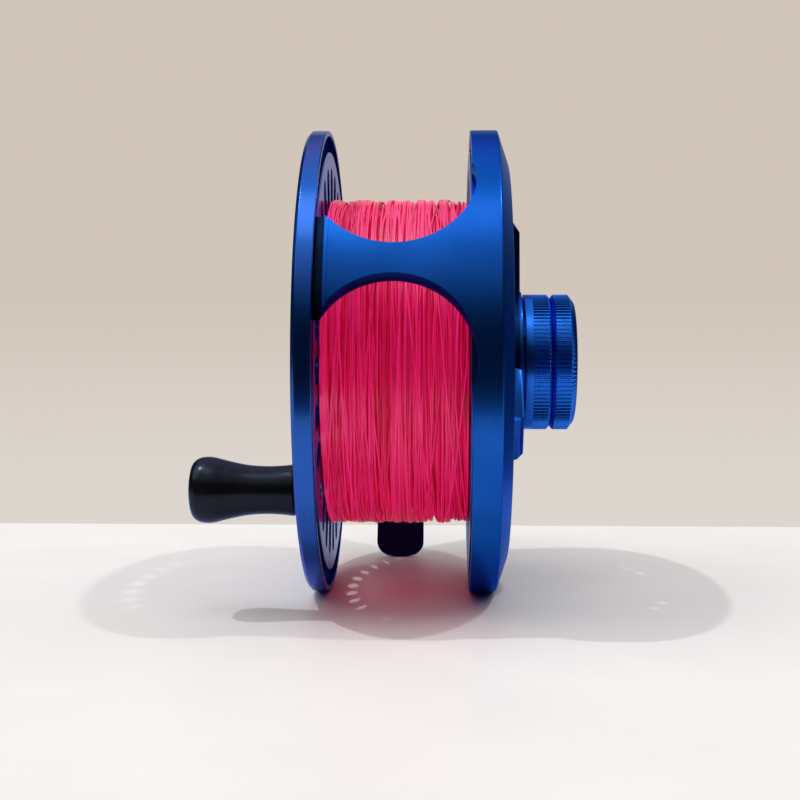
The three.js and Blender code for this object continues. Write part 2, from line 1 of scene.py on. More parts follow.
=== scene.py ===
"""Visual model of a large-arbor fly fishing reel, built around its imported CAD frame.

Pieces are made in millimetres about the spool's axis, with X = 0 in the middle of the line.
Angles are in degrees about the axis, from the front (-Y) up to +Z. place() turns both into the row frame.
"""

import json
import math
import random

import bmesh
import bpy
import numpy as np
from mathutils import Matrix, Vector


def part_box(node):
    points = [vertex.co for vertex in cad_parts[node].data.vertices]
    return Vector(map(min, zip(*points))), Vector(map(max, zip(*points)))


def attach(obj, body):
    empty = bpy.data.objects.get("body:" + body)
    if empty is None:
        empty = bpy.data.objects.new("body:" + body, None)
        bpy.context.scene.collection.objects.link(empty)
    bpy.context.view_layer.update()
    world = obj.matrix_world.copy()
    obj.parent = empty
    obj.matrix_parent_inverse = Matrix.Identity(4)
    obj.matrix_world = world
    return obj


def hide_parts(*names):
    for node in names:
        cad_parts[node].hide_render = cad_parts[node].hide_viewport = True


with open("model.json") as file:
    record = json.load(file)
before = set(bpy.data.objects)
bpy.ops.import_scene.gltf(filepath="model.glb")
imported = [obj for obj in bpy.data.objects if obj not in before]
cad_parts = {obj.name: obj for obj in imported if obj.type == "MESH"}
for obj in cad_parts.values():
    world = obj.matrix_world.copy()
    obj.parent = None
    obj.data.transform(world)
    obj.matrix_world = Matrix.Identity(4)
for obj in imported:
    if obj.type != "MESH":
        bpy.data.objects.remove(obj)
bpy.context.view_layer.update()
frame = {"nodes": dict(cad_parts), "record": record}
random.seed(7)

MM = 0.001
LINE_LOW, LINE_HIGH = (Vector(corner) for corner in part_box("line_pack"))
AXIS = (LINE_LOW + LINE_HIGH) / 2

# Sizes shared with the CAD model, in millimetres
RIM_RADIUS = 50
FLANGE_RADIUS = 45.5
ARBOR_RADIUS = 26
HALF_LINE = 14.8
LINE_RADIUS = 35.4
GAP = 0.1

# Where cutters start and end, clear of what they cut
CUT_LEFT = -20
CAGE_CUT = (43, 53)
PLATE_CUT = (19, 24.5)
PILLAR_CUT = (38, 62)
PORT_CUT_RIGHT = 18
WEB_CUT_RIGHT = -13

# Cage and back plate
CAGE_INNER = 46.2
CAGE_LEFT = -12.3
LIP_LEFT = -15.9
LIP_RIGHT = -13.1
LIP_RADIUS = 46.9
LIP_STEP = 49.3
LIP_SHORTER = 9  # degrees
RING_LEFT = 15.2
RING_EDGE = 20.8
PLATE_IN = 20.2
PLATE_OUT = 23.2
PLATE_RADIUS = 42.85
PLATE_PORTS = {"count": 18, "first": 14, "inner": 31.8, "outer": 40.6, "half": 2.8}
PLATE_WINDOWS = {"inner": 20.6, "outer": 28.4, "half_span": 30, "from_arm": 60}
PILLAR_ANGLE = 25
PILLAR_WAIST = 6.3
WINDOW_RADIUS = 16

# Star and hub on the back plate
STAR_OUT = 26.4
BOSS_RADIUS = 15.5
HUB_RING = {"right": 28.8, "inner": 9.4, "outer": 10.8}
SPINDLE_RADIUS = 3
CUP_LEFT = 7.9
CUP_INNER = 16.5
CUP_OUTER = 18.5
ARM_TOP = 25.9
ARM_TIP = 24.6
ARM_REACH = 30
ARM_CHAMFER = 2
ARM_DRAFT = 0.3
ARM_ROOT_HALF = 8
ARM_EDGE_HALF = 5.7
ARM_TIP_HALF = 5.4
ARM_ANGLES = (90, 210, 330)

# Spool
SPOOL_LEFT = -18.85
SPOOL_RIGHT = 16.7
GROOVE_FLOOR = -17.6
GROOVE_RADIUS = 48.9
DISH_FACE = -17.2
DISH_RADIUS = 43.2
HUB_RADIUS = 13.2
HUB_RIGHT = 7.4
HUB_BORE = 9.5
HUB_STEP = -0.2
BEARING_BORE = 7.6
BEARING_STOP = -15.2
CAP_SEAT = 12
CAP_SEAT_LEFT = -18.6
CAP_BORE = 5
ARBOR_INNER = 23.8
RIM_BREAK = 0.75
CAP_GRIPS = 12
CAP_GRIP_DEPTH = 0.35
SPOOL_PORTS = {"count": 28, "inner": 31.4, "outer": 42.3, "half": 2.75}
SPOOL_WINDOWS = {"count": 6, "inner": 15.4, "outer": 22, "half_span": 14}
HANDLE_BOSS = 5.9
HANDLE_BOSS_ROOT = -16
POST_BORE = 1.9
POST_BORE_END = -14
WEIGHT_SEAT = 4.3
WEIGHT_SEAT_FLOOR = -16.4
HANDLE_CIRCLE = 38.9
HANDLE_ANGLE = -39.5

# Reel foot
FOOT_ANGLE = 204
FOOT_WAIST = 13
FOOT_WIDTH = 11.6
FOOT_MIDDLE = -1.2
FOOT_FACE = 56.6
FOOT_CORNER = 3.6
FOOT_END_WIDTH = 0.28
TOE_THICKNESS = 1.1
TOE_CURVE = 2.2
SADDLE_HALF = 9
PEDESTAL_ROOT = 47.5
PEDESTAL_TOP = 52.5
FOOT_ROWS = 96
FOOT_COLUMNS = 14
SCREW_OFFSET = 5
SCREW_BORE = 1.5
SINK_FLOOR = (54.9, 1.45)
SINK_TOP = (56.7, 3.1)
SOCKET_RADIUS = 1.3
SOCKET_LOBES = 6
LOBE_DEPTH = 0.14

# Thread of the spindle, where the drag nut runs
THREAD_START = 27.8
THREAD_END = 33.6
THREAD_PITCH = 0.5
THREAD_CREST = 2.5
THREAD_ROOT = 2.2

# Drag knob
KNOB_RADIUS = 14.75
KNURLS = 98
KNURL_DEPTH = 0.3

# Line: the strands are wound over a solid core until their mean height is LAST_LEVEL
STRAND = 0.5
LINE_SIDE_GAP = 0.05
LINE_CORE = LINE_RADIUS - 1.9
FIRST_LEVEL = LINE_RADIUS - 2.1
WIDE_LEVEL = LINE_RADIUS - 0.35
LAST_LEVEL = LINE_RADIUS - 0.1
MOST_TURNS = 320
TURNS_AT_ONE_PACE = 3
TURN_STEPS = 120
HEIGHT_CELLS = 320
STRAND_SIDES = 8
STRAND_TOP = LINE_RADIUS + 0.05 - STRAND / 2
SQUEEZE_ROOM = 1.1
TONE_STEPS = 40

# Millimetres along the spool that the line moves in one turn, in the lower and in the last layers
PACES = (0.5, 0.55, 0.6, 0.7, 1.2, 2.4, 6.0, 11.0, 18.0)
LAST_PACES = (1.6, 6, 11, 16, 22)

# The line's slow drift, as (millimetres, waves a turn), and how far a strand sinks in and stands out
DRIFT = ((0.3, 0.73), (0.2, 1.31))
SINK = 0.7
STAND = 0.8

# Facets round a full turn
FINE = 600
ROUND = 120
SMALL_ROUND = 64
KNURL_FACETS = 8 * KNURLS

# Rounds on machined edges
EDGE_ROUND = 0.22

# Shading: the sharpest angle that stays smooth, and the slopes that count as flat, turned and plain
SHARP_ANGLE = 34
FLAT_SIDE = 0.02
OUTWARD = 0.9985
NO_SLOPE = 0.9998
BROAD_FACE = 2e-6

# Colours
# Painted shade for the groove beside the left rim, where the rim shadows it
GROOVE_SHADE_BLUE = (0.0015, 0.01, 0.035)
# Painted shade for the sides of the star's arms beside the knob
ARM_SIDE_SHADE_BLUE = (0.002, 0.022, 0.1)
BLUE_DARK = (0.004, 0.075, 0.40)
BLUE_LIGHT = (0.008, 0.105, 0.52)
BLUE_EDGE = (0.08, 0.36, 0.95)

# Ring-shaped zones of painted shade on the blue pieces, as (range along X, range of radius, colour)
GROOVE_SHADE_ZONE = ((-17.7, -13.0), (45.6, 48.7), GROOVE_SHADE_BLUE)
# The arms' sides get painted shade, not a different finish
ARM_SIDE_SHADE_ZONE = ((23.35, 25.75), (5, 29.4), ARM_SIDE_SHADE_BLUE)
ZONE_FADE = 0.2

# Camera
CAMERA_PLACE = (10, -308, 10)
CAMERA_TILT = 86.58
CAMERA_TURN = 1.86
LENS = 63
SENSOR = 36

# Area lights, as name, place in millimetres about the axis, size in metres and power in watts
LIGHTS = (
    ("key_left", (-400, -20, 880), 0.02, 2.4),
    ("key_right", (400, -20, 880), 0.03, 1.8),
    ("soft_left", (-800, -60, 800), 0.9, 2.6),
    ("soft_right", (800, 260, 800), 0.9, 2.0),
    ("overhead", (-60, -190, 640), 0.3, 0.35),
)

# Table top, in millimetres about the axis
FLOOR_FAR = 92
FLOOR_NEAR = -146
FLOOR_HALF_WIDTH = 1400
FLOOR_THICKNESS = 30


# -------- places and forms


def place(point):
    """A point in millimetres about the axis, in the row frame."""
    return AXIS + Vector(point) * MM


def at_angle(x, along, out, degrees):
    """The point at x, along the tangent and out along the radius at an angle about the axis."""
    turn = math.radians(degrees)
    return (
        x,
        along * math.sin(turn) - out * math.cos(turn),
        along * math.cos(turn) + out * math.sin(turn),
    )


class Form:
    """The vertices and faces of a piece, in millimetres about the axis."""

    def __init__(self):
        self.verts = []
        self.faces = []

    def add(self, verts, faces):
        start = len(self.verts)
        self.verts += verts
        self.faces += [[start + corner for corner in face] for face in faces]
        return self


def rounded(profile, radius=0.25, steps=3):
    """A closed outline with its corners rounded. A corner's third value is its own radius."""
    points = []
    for i, corner in enumerate(profile):
        here = Vector(corner[:2])
        before = Vector(profile[i - 1][:2]) - here
        after = Vector(profile[(i + 1) % len(profile)][:2]) - here
        wanted = corner[2] if len(corner) > 2 else radius
        reach = min(wanted, before.length * 0.45, after.length * 0.45)
        if here.y < 1e-6 or reach < 1e-4:
            points.append(tuple(here))
            continue
        start = here + before.normalized() * reach
        end = here + after.normalized() * reach
        for step in range(steps + 1):
            t = step / steps
            points.append(tuple(start * (1 - t) ** 2 + here * 2 * t * (1 - t) + end * t**2))
    return points


def turned(profile, facets=ROUND, centre=(0, 0), shape=None):
    """A form turned about a line parallel to X. shape(x, radius, angle) may change the radius."""
    verts, rings = [], []
    for x, radius in profile:
        if radius < 1e-6:
            rings.append([len(verts)])
            verts.append((x, centre[0], centre[1]))
            continue
        rings.append(list(range(len(verts), len(verts) + facets)))
        for i in range(facets):
            turn = 2 * math.pi * i / facets
            r = shape(x, radius, turn) if shape else radius
            verts.append((x, centre[0] - r * math.cos(turn), centre[1] + r * math.sin(turn)))
    faces = []
    for here, there in zip(rings, rings[1:] + rings[:1]):
        if len(here) == 1 and len(there) == 1:
            continue
        for i in range(facets):
            j = (i + 1) % facets
            if len(here) == 1:
                faces.append([here[0], there[i], there[j]])
            elif len(there) == 1:
                faces.append([here[i], there[0], here[j]])
            else:
                faces.append([here[i], there[i], there[j], here[j]])
    return Form().add(verts, faces)


def swept(low, high):
    """A prism between two matching outlines."""
    count = len(low)
    faces = [list(range(count))[::-1], list(range(count, 2 * count))]
    for i in range(count):
        j = (i + 1) % count
        faces.append([i, j, count + j, count + i])
    return list(low) + list(high), faces


def prism(outline, x0, x1, degrees):
    """An outline of (along, out) points at an angle, pushed from x0 to x1."""
    ends = [[at_angle(x, along, out, degrees) for along, out in outline] for x in (x0, x1)]
    return swept(*ends)


def radial_prism(outline, r0, r1, degrees):
    """An outline of (x, along) points, pushed outwards from r0 to r1 at an angle."""
    ends = [[at_angle(x, along, r, degrees) for x, along in outline] for r in (r0, r1)]
    return swept(*ends)


def arc(centre, radius, start, end, steps):
    """Points on a circle, with angles in degrees."""
    points = []
    for i in range(steps + 1):
        turn = math.radians(start + (end - start) * i / steps)
        points.append((centre[0] + radius * math.cos(turn), centre[1] + radius * math.sin(turn)))
    return points


def disc_outline(centre, radius, steps):
    """A whole circle as an outline."""
    return arc(centre, radius, 0, 360, steps)[:-1]


def slot_outline(inner, outer, half):
    """A radial slot with round ends, as (along, out) points."""
    return arc((0, outer - half), half, 0, 180, 14) + arc((0, inner + half), half, 180, 360, 14)


def curved_slot_outline(inner, outer, half_span):
    """A slot with round ends that follows a circle about the axis."""
    middle, end = (inner + outer) / 2, (outer - inner) / 2
    low, high = 90 - half_span, 90 + half_span
    high_tip, low_tip = arc((0, 0), middle, high, low, 1)
    return (
        arc((0, 0), outer, low, high, 24)
        + arc(high_tip, end, high, high + 180, 12)[1:]
        + arc((0, 0), inner, high, low, 18)[1:]
        + arc(low_tip, end, low + 180, low + 360, 12)[1:-1]
    )


def sector(x0, x1, inner, outer, start, end, steps=60):
    """A wedge of ring between two angles."""
    verts, faces = [], []
    for i in range(steps + 1):
        degrees = start + (end - start) * i / steps
        for x, r in ((x0, inner), (x0, outer), (x1, outer), (x1, inner)):
            verts.append(at_angle(x, 0, r, degrees))
    for i in range(steps):
        for k in range(4):
            a, b = 4 * i + k, 4 * i + (k + 1) % 4
            faces.append([a, b, b + 4, a + 4])
    faces.append([0, 1, 2, 3])
    last = 4 * steps
    faces.append([last + 3, last + 2, last + 1, last])
    return verts, faces


# -------- objects


def new_object(name, form):
    """An object made of a form, with its faces all turned outwards."""
    mesh = bpy.data.meshes.new(name)
    mesh.from_pydata([place(v) for v in form.verts], [], form.faces)
    tidy = bmesh.new()
    tidy.from_mesh(mesh)
    bmesh.ops.recalc_face_normals(tidy, faces=tidy.faces)
    tidy.to_mesh(mesh)
    tidy.free()
    obj = bpy.data.objects.new(name, mesh)
    bpy.context.scene.collection.objects.link(obj)
    return obj


def settle(obj):
    """Applies an object's modifiers to its mesh."""
    bpy.context.view_layer.update()
    evaluated = obj.evaluated_get(bpy.context.evaluated_depsgraph_get())
    mesh = bpy.data.meshes.new_from_object(evaluated)
    obj.modifiers.clear()
    obj.data = mesh


def combine(obj, form, operation):
    """Joins a form to an object, or cuts it out of it."""
    tool = new_object("tool", form)
    step = obj.modifiers.new("combine", "BOOLEAN")
    step.operation = operation
    step.solver = "EXACT"
    step.object = tool
    settle(obj)
    bpy.data.objects.remove(tool)


def soften(obj, width=0.2, angle=32):
    """Small rounds on the sharp edges."""
    bevel = obj.modifiers.new("edges", "BEVEL")
    bevel.width = width * MM
    bevel.segments = 2
    bevel.limit_method = "ANGLE"
    bevel.angle_limit = math.radians(angle)
    bevel.use_clamp_overlap = True
    settle(obj)


def away_from(point, centre):
    """The direction from a line parallel to X to a point."""
    return Vector((0, point.y - centre.y, point.z - centre.z)).normalized()


def shade(mesh, centre):
    """Smooth shading between sharp edges, with exact normals on faces turned about a centre line."""
    mesh.polygons.foreach_set("use_smooth", [True] * len(mesh.polygons))
    mesh.set_sharp_from_angle(angle=math.radians(SHARP_ANGLE))
    if centre is None:
        return
    normals = [normal.vector.copy() for normal in mesh.corner_normals]
    for face in mesh.polygons:
        out = away_from(face.center, centre)
        side = Vector((0, face.normal.y, face.normal.z))
        plain = side.length > NO_SLOPE or face.area > BROAD_FACE
        if side.length < FLAT_SIDE:
            for corner in face.loop_indices:
                normals[corner] = Vector((math.copysign(1, face.normal.x), 0, 0))
        elif abs(side.normalized().dot(out)) > OUTWARD and plain:
            sign = math.copysign(side.length, side.dot(out))
            for corner in face.loop_indices:
                point = mesh.vertices[mesh.loops[corner].vertex_index].co
                away = away_from(point, centre)
                normals[corner] = Vector((face.normal.x, away.y * sign, away.z * sign))
    mesh.normals_split_custom_set(normals)


def finish_piece(obj, nodes, body, material, centre=AXIS):
    """Shades a piece, gives it its finish and body, and hides the CAD nodes that it stands for."""
    shade(obj.data, centre)
    obj.data.materials.clear()
    obj.data.materials.append(material)
    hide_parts(*nodes)
    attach(obj, body)


# -------- materials


def blended(tree, factor, first, second):
    """Blends two colours in a node tree. Each is a tuple or another node's output."""
    made = tree.nodes.new("ShaderNodeMix")
    made.data_type = "RGBA"
    tree.links.new(factor, made.inputs[0])
    for colour, socket in ((first, made.inputs[6]), (second, made.inputs[7])):
        if isinstance(colour, tuple):
            socket.default_value = (*colour, 1)
        else:
            tree.links.new(colour, socket)
    return made.outputs[2]


class Shader:
    """A material's node tree, with its main shader."""

    def __init__(self, name):
        self.material = bpy.data.materials.new(name)
        self.material.use_nodes = True
        self.tree = self.material.node_tree
        self.main = self.tree.nodes["Principled BSDF"]

    def node(self, kind, **values):
        made = self.tree.nodes.new(kind)
        for key, value in values.items():
            if hasattr(made, key):
                setattr(made, key, value)
            else:
                made.inputs[key.replace("_", " ")].default_value = value
        return made

    def link(self, start, end):
        self.tree.links.new(start, end)

    def set(self, **values):
        for key, value in values.items():
            self.main.inputs[key.replace("_", " ")].default_value = value

    def turned_coordinates(self, centre, along, out):
        """Coordinates of (x, radius) about a line parallel to X, so that a pattern runs round it."""
        shifted = self.node("ShaderNodeVectorMath", operation="SUBTRACT")
        shifted.inputs[1].default_value = centre
        self.link(object_coordinates(self), shifted.inputs[0])
        parts = self.node("ShaderNodeSeparateXYZ")
        self.link(shifted.outputs[0], parts.inputs[0])
        flat = self.node("ShaderNodeCombineXYZ")
        self.link(parts.outputs["Y"], flat.inputs["Y"])
        self.link(parts.outputs["Z"], flat.inputs["Z"])
        radius = self.node("ShaderNodeVectorMath", operation="LENGTH")
        self.link(flat.outputs[0], radius.inputs[0])
        across = self.node("ShaderNodeMath", operation="MULTIPLY")
        across.inputs[1].default_value = along
        self.link(parts.outputs["X"], across.inputs[0])
        outward = self.node("ShaderNodeMath", operation="MULTIPLY")
        outward.inputs[1].default_value = out
        self.link(radius.outputs["Value"], outward.inputs[0])
        joined = self.node("ShaderNodeCombineXYZ")
        self.link(across.outputs[0], joined.inputs["X"])
        self.link(outward.outputs[0], joined.inputs["Y"])
        return joined.outputs[0]

    def noise(self, vector, scale, detail):
        made = self.node("ShaderNodeTexNoise", Scale=scale, Detail=detail)
        self.link(vector, made.inputs["Vector"])
        return made.outputs["Fac"]

    def spread(self, value, low, high, start=0.3, end=0.7):
        """Maps a value between start and end to low and high."""
        made = self.node("ShaderNodeMapRange")
        made.inputs["From Min"].default_value = start
        made.inputs["From Max"].default_value = end
        made.inputs["To Min"].default_value = low
        made.inputs["To Max"].default_value = high
        self.link(value, made.inputs["Value"])
        return made.outputs["Result"]

    def blend(self, value, first, second):
        return blended(self.tree, value, first, second)

    def product(self, first, second):
        made = self.node("ShaderNodeMath", operation="MULTIPLY")
        self.link(first, made.inputs[0])
        self.link(second, made.inputs[1])
        return made.outputs[0]

    def bump(self, height, strength, distance):
        made = self.node("ShaderNodeBump", Strength=strength, Distance=distance)
        self.link(height, made.inputs["Height"])
        self.link(made.outputs["Normal"], self.main.inputs["Normal"])


def object_coordinates(shader):
    """Places in metres in the row frame, since every piece's origin is there."""
    return shader.node("ShaderNodeTexCoord").outputs["Object"]


def anodised(name, dark, light, roughness, centre, metallic=1.0, coat=0.06):
    """Anodised aluminium: fine turning marks under a coloured skin, with painted shade in the two zones,
    the groove beside the left rim and the arms' sides.
    """
    shader = Shader(name)
    shader.set(Metallic=metallic, Roughness=roughness, Coat_Weight=coat, Coat_Roughness=0.15)
    shader.main.inputs["Specular Tint"].default_value = (*BLUE_EDGE, 1)
    around = shader.turned_coordinates(centre, 5000, 5000)
    marks = shader.noise(around, 1.0, 4)
    cloud = shader.noise(object_coordinates(shader), 45, 4)
    colour = shader.blend(shader.spread(cloud, 0, 1), dark, light)
    # Painted shade: the groove and the arms' sides are darkened where shade falls
    for along, out, shade_colour in (GROOVE_SHADE_ZONE, ARM_SIDE_SHADE_ZONE):
        colour = shader.blend(zone(shader, along, out), colour, shade_colour)
    shader.link(colour, shader.main.inputs["Base Color"])
    shader.link(shader.spread(marks, roughness - 0.04, roughness + 0.05), shader.main.inputs["Roughness"])
    shader.bump(marks, 0.05, 0.00002)
    return shader.material


def zone(shader, along, out):
    """1 in a ring-shaped zone about the axis, given by its range along X and its range of radius."""
    parts = shader.node("ShaderNodeSeparateXYZ")
    shader.link(shader.turned_coordinates(AXIS, 1 / MM, 1 / MM), parts.inputs[0])
    inside = None
    for axis, (low, high) in (("X", along), ("Y", out)):
        for start, end, first, last in ((0, 1, low, low + ZONE_FADE), (1, 0, high - ZONE_FADE, high)):
            side = shader.spread(parts.outputs[axis], start, end, first, last)
            inside = side if inside is None else shader.product(inside, side)
    return inside


def turned_metal(name, dark, light, roughness):
    """Bare metal with fine turning marks."""
    shader = Shader(name)
    shader.set(Metallic=1.0)
    marks = shader.noise(shader.turned_coordinates(AXIS, 7000, 7000), 1.0, 5)
    shader.link(shader.blend(shader.spread(marks, 0, 1), dark, light), shader.main.inputs["Base Color"])
    shader.link(shader.spread(marks, roughness - 0.06, roughness + 0.1), shader.main.inputs["Roughness"])
    shader.bump(marks, 0.12, 0.00002)
    return shader.material


def soft_solid(name, dark, light, roughness, grain, height):
    """Rubber or composite: a dull solid with a fine grain."""
    shader = Shader(name)
    cloud = shader.noise(object_coordinates(shader), grain, 6)
    shader.link(shader.blend(shader.spread(cloud, 0, 1), dark, light), shader.main.inputs["Base Color"])
    shader.link(shader.spread(cloud, roughness - 0.1, roughness + 0.1), shader.main.inputs["Roughness"])
    shader.bump(cloud, 0.3, height)
    return shader.material


def nylon_line():
    """Fluorescent pink monofilament: glossy, with a painted highlight along each strand's crest, painted
    shade deep in the gaps and a painted glow.
    """
    shader = Shader("pink_line")
    shader.set(
        Roughness=0.34,
        Subsurface_Weight=0.15,
        Subsurface_Scale=0.0004,
        Specular_IOR_Level=0.35,
        Coat_Weight=0.35,
        Coat_Roughness=0.12,
        # Painted glow: the line emits light, standing in for its fluorescence and brightening it
        Emission_Strength=0.4,
    )
    shader.main.inputs["Subsurface Radius"].default_value = (1.0, 0.3, 0.5)
    strand = shader.node("ShaderNodeAttribute", attribute_name="strand")
    parts = shader.node("ShaderNodeSeparateColor")
    shader.link(strand.outputs["Color"], parts.inputs[0])
    # Painted highlight on each strand's crest and painted shade in the gaps; the tone varies at random
    crest_shading = shader.spread(parts.outputs["Red"], 0, 1, 0.68, 1.0)
    tone = shader.spread(parts.outputs["Green"], 0.3, 1, 0.1, 0.7)
    lit = shader.product(crest_shading, tone)
    colour = shader.blend(lit, (0.5, 0.0, 0.02), (1.0, 0.055, 0.34))
    shader.link(colour, shader.main.inputs["Base Color"])
    # Painted glow, strongest on the lit crests of the strands
    painted_glow = shader.blend(lit, (0.3, 0.0, 0.01), (1.2, 0.006, 0.15))
    shader.link(painted_glow, shader.main.inputs["Emission Color"])
    waver = shader.noise(object_coordinates(shader), 1400, 2)
    shader.bump(waver, 0.12, 0.00004)
    return shader.material


HANDLE_CENTRE = place(at_angle(0, 0, HANDLE_CIRCLE, HANDLE_ANGLE))

BLUE = anodised("blue_anodised", BLUE_DARK, BLUE_LIGHT, 0.3, AXIS)
POLISHED_BLUE = anodised("polished_blue", BLUE_DARK, BLUE_LIGHT, 0.28, AXIS, 1.0, 0.42)
BRIGHT_BLUE = anodised("bright_blue", (0.009, 0.13, 0.62), (0.015, 0.17, 0.78), 0.28, AXIS, 1.0, 0.15)
NAVY = anodised("navy_anodised", (0.003, 0.028, 0.1), (0.004, 0.04, 0.14), 0.34, AXIS)
BLACK = anodised("black_anodised", (0.009, 0.009, 0.009), (0.015, 0.0145, 0.014), 0.25, HANDLE_CENTRE, 0.6)
STEEL = turned_metal("steel", (0.42, 0.43, 0.45), (0.62, 0.63, 0.65), 0.26)
BRONZE = turned_metal("bronze", (0.42, 0.26, 0.09), (0.6, 0.4, 0.16), 0.32)
CARBON = soft_solid("carbon_disc", (0.015, 0.015, 0.017), (0.05, 0.05, 0.055), 0.55, 900, 0.00005)
RUBBER = soft_solid("rubber", (0.008, 0.008, 0.008), (0.02, 0.02, 0.02), 0.6, 600, 0.00003)
LINE = nylon_line()
FINISHES = {
    "blue_anodised": BLUE,
    "black_anodised": BLACK,
    "steel": STEEL,
    "bronze": BRONZE,
    "carbon_disc": CARBON,
    "rubber": RUBBER,
    "line": LINE,
}


# -------- frame


def window_cutters(pillar, waist):
    """The two round cutters beside a pillar, both parallel to it."""
    offset = waist / 2 + WINDOW_RADIUS
    circles = [disc_outline((0, side * offset), WINDOW_RADIUS, 120) for side in (-1, 1)]
    return [radial_prism(circle, *PILLAR_CUT, pillar) for circle in circles]


def cutter_angle(waist):
    """The angle at the rim between a pillar's middle and the centre of a cutter beside it."""
    return math.degrees(math.asin((waist / 2 + WINDOW_RADIUS) / RIM_RADIUS))


def star_arm(angle):
    """An arm of the star: it narrows outwards and upwards, and its top slopes down to the tip."""
    low, root, edge = PLATE_OUT - 1, BOSS_RADIUS - 3, ARM_REACH - ARM_CHAMFER
    rows = (
        (ARM_ROOT_HALF, root, ARM_TOP),
        (ARM_EDGE_HALF, edge, ARM_TOP),
        (ARM_TIP_HALF, ARM_REACH, ARM_TIP),
    )
    verts = []
    for half, out, top in rows:
        narrow = half - ARM_DRAFT * (top - low)
        for x, along in ((low, -half), (low, half), (top, narrow), (top, -narrow)):
            verts.append(at_angle(x, along, out, angle))
    faces = [[0, 1, 2, 3], [11, 10, 9, 8]]
    for row in (0, 4):
        for k in range(4):
            a, b = row + k, row + (k + 1) % 4
            faces.append([a, b, b + 4, a + 4])
    return verts, faces


def cut_openings(body):
    """Opens the cage between its two pillars, and ends the left lip close to each pillar."""
    front, back = cutter_angle(PILLAR_WAIST), cutter_angle(FOOT_WAIST)
    for start, end in (
        (PILLAR_ANGLE + front, FOOT_ANGLE - back),
        (FOOT_ANGLE + back, 360 + PILLAR_ANGLE - front),
    ):
        opening = sector(CUT_LEFT, RING_LEFT, *CAGE_CUT, start, end)
        combine(body, Form().add(*opening), "DIFFERENCE")
        start, end = start - LIP_SHORTER, end + LIP_SHORTER
        opening = sector(CUT_LEFT, LIP_RIGHT, CAGE_CUT[0], RIM_RADIUS - 1, start, end)
        combine(body, Form().add(*opening), "DIFFERENCE")
    for pillar, waist in ((PILLAR_ANGLE, PILLAR_WAIST), (FOOT_ANGLE, FOOT_WAIST)):
        for cutter in window_cutters(pillar, waist):
            combine(body, Form().add(*cutter), "DIFFERENCE")


def cut_plate(body):
    """The back plate's ring of ports, and the three curved windows between the arms."""
    holes = Form()
    ports = PLATE_PORTS
    outline = slot_outline(ports["inner"], ports["outer"], ports["half"])
    for i in range(ports["count"]):
        holes.add(*prism(outline, *PLATE_CUT, ports["first"] + 360 * i / ports["count"]))
    windows = PLATE_WINDOWS
    outline = curved_slot_outline(windows["inner"], windows["outer"], windows["half_span"])
    for angle in ARM_ANGLES:
        holes.add(*prism(outline, *PLATE_CUT, angle + windows["from_arm"]))
    combine(body, holes, "DIFFERENCE")


def make_frame():
    """The cage: both rings, the back plate with its star and cup, the pillars and the pedestal."""
    profile = [
        (LIP_LEFT, CAGE_INNER),
        (LIP_LEFT, LIP_RADIUS, 0.1),
        (LIP_RIGHT, LIP_RADIUS, 0.1),
        (LIP_RIGHT, LIP_STEP, 0.1),
        (CAGE_LEFT, LIP_STEP, 0.1),
        (CAGE_LEFT, RIM_RADIUS, 0.2),
        (RING_EDGE, RIM_RADIUS, 0.3),
        (PLATE_OUT, PLATE_RADIUS, 0.3),
        (PLATE_OUT, BOSS_RADIUS, 0.5),
        (STAR_OUT, BOSS_RADIUS, 0.4),
        (STAR_OUT, HUB_RING["outer"], 0.05),
        (HUB_RING["right"], HUB_RING["outer"]),
        (HUB_RING["right"], HUB_RING["inner"]),
        (STAR_OUT, HUB_RING["inner"], 0.05),
        (STAR_OUT, SPINDLE_RADIUS + GAP),
        (PLATE_IN, SPINDLE_RADIUS + GAP),
        (PLATE_IN, CUP_INNER, 0.3),
        (CUP_LEFT, CUP_INNER),
        (CUP_LEFT, CUP_OUTER, 0.5),
        (PLATE_IN, CUP_OUTER, 0.8),
        (PLATE_IN, CAGE_INNER, 0.8),
    ]
    body = new_object("cage", turned(rounded(profile), FINE))
    cut_openings(body)
    for angle in ARM_ANGLES:
        combine(body, Form().add(*star_arm(angle)), "UNION")
    left, right = FOOT_MIDDLE - FOOT_WIDTH / 2, FOOT_MIDDLE + FOOT_WIDTH / 2
    half = SADDLE_HALF
    block = [(left, -half), (right, -half), (right, half), (left, half)]
    pedestal = radial_prism(block, PEDESTAL_ROOT, PEDESTAL_TOP, FOOT_ANGLE)
    combine(body, Form().add(*pedestal), "UNION")
    cut_plate(body)
    soften(body, EDGE_ROUND)
    finish_piece(body, ["frame"], "frame", BLUE)


# -------- spool


